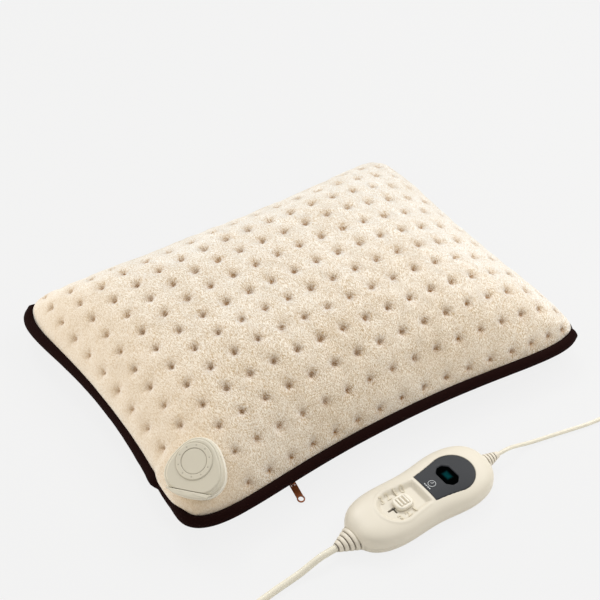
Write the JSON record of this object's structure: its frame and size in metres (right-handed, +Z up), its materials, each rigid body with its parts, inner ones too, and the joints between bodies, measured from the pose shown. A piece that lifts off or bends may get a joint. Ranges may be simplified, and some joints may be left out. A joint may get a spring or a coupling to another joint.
{
  "type": "heating pad with controller",
  "caption": "Zipped, tufted fleece heating cushion with dark piping, a connector socket near one corner, and a slide-switch controller between its mains lead and pad lead.",
  "frame": {"origin": "centre of the cushion's flat underside, on the surface that the part lies on", "axes": "+X along the cushion's long side, +Y away from the controller towards the back of the cushion, +Z up"},
  "size_m": [0.441, 0.4375, 0.0805],
  "materials": {
    "fleece": "short-pile fleece, tufted",
    "fleece_base": "short-pile fleece",
    "piping_cloth": "dark brown piping cloth",
    "lining": "white polyester lining",
    "felt": "needled felt",
    "wire_sleeve": "silicone wire sleeve",
    "tape_cloth": "woven zip tape and nylon teeth",
    "zip_metal": "copper-brown antique zip metal",
    "socket_plastic": "satin grey-beige plastic",
    "case_plastic": "satin cream plastic",
    "panel_plastic": "dark grey satin plastic",
    "window_lens": "black display lens",
    "display_glass": "teal display",
    "board_laminate": "green circuit board",
    "black_plastic": "black moulded plastic",
    "brass": "plated contacts",
    "steel": "plain steel",
    "boot_vinyl": "soft cream vinyl",
    "lead_jacket": "cream vinyl jacket",
    "tie_strap": "pale tie strap"
  },
  "bodies": {
    "cushion_and_leads": {"cover_top": "fleece", "cover_bottom": "fleece_base", "piping": "piping_cloth", "inner_cushion": "lining", "heating_carrier": "felt", "heating_wire": "wire_sleeve", "thermal_cutout_1": "steel", "thermal_cutout_2": "steel", "feed_cable": "wire_sleeve", "zip_tape_upper": "tape_cloth", "zip_tape_lower": "tape_cloth", "zip_chain": "tape_cloth", "zip_stop_left": "zip_metal", "zip_stop_right": "zip_metal", "socket_base": "socket_plastic", "socket_housing": "socket_plastic", "socket_cap": "socket_plastic", "socket_backplate": "socket_plastic", "socket_contact_1": "brass", "socket_contact_2": "brass", "socket_contact_3": "brass", "socket_screw_1": "steel", "socket_screw_2": "steel", "controller_upper_shell": "case_plastic", "controller_lower_shell": "case_plastic", "display_panel": "panel_plastic", "display_window": "window_lens", "display_module": "display_glass", "circuit_board": "board_laminate", "slide_switch": "black_plastic", "fuse": "display_glass", "power_switch": "black_plastic", "case_screw_1": "steel", "case_screw_2": "steel", "case_screw_3": "steel", "case_screw_4": "steel", "mains_boot": "boot_vinyl", "pad_boot": "boot_vinyl", "mains_lead": "lead_jacket", "mains_coil": "lead_jacket", "mains_tail": "lead_jacket", "mains_tie": "tie_strap", "plug_boot": "boot_vinyl", "plug_body": "case_plastic", "plug_pin_1": "brass", "plug_pin_2": "brass", "pad_lead": "lead_jacket", "pad_coil": "lead_jacket", "pad_tail": "lead_jacket", "pad_tie": "tie_strap", "connector_boot": "boot_vinyl", "connector_body": "socket_plastic"},
    "slider_knob_body": {"slider_knob": "case_plastic"},
    "zip_slider_body": {"zip_slider": "zip_metal"},
    "zip_link_body": {"zip_pull_link": "zip_metal"},
    "zip_pull_body": {"zip_pull": "zip_metal"},
    "latch_body": {"socket_latch": "socket_plastic"}
  },
  "joints": [
    {"name": "heat_slide", "type": "slide", "parent": "cushion_and_leads", "child": "slider_knob_body", "axis": [-0.9992, -0.0401, 0], "range_m": [0, 0.008]},
    {"name": "zip_run", "type": "hinge", "parent": "cushion_and_leads", "child": "zip_slider_body", "pos_m": [0, -0.7368, 0.01], "axis": [0, 0, -1], "range_deg": [-1, 16]},
    {"name": "link_swing", "type": "hinge", "parent": "zip_slider_body", "child": "zip_link_body", "pos_m": [-0.08747, -0.11973, 0.00566], "axis": [-0.9901, -0.1404, 0], "range_deg": [0, 20]},
    {"name": "pull_swing", "type": "hinge", "parent": "zip_link_body", "child": "zip_pull_body", "pos_m": [-0.08711, -0.12222, 0.00474], "axis": [-0.9901, -0.1404, 0], "range_deg": [0, 30]},
    {"name": "latch_press", "type": "slide", "parent": "cushion_and_leads", "child": "latch_body", "axis": [0.4308, 0.2933, -0.8535], "range_m": [0, 0.0009], "stiffness_N_per_m": 600}
  ]
}
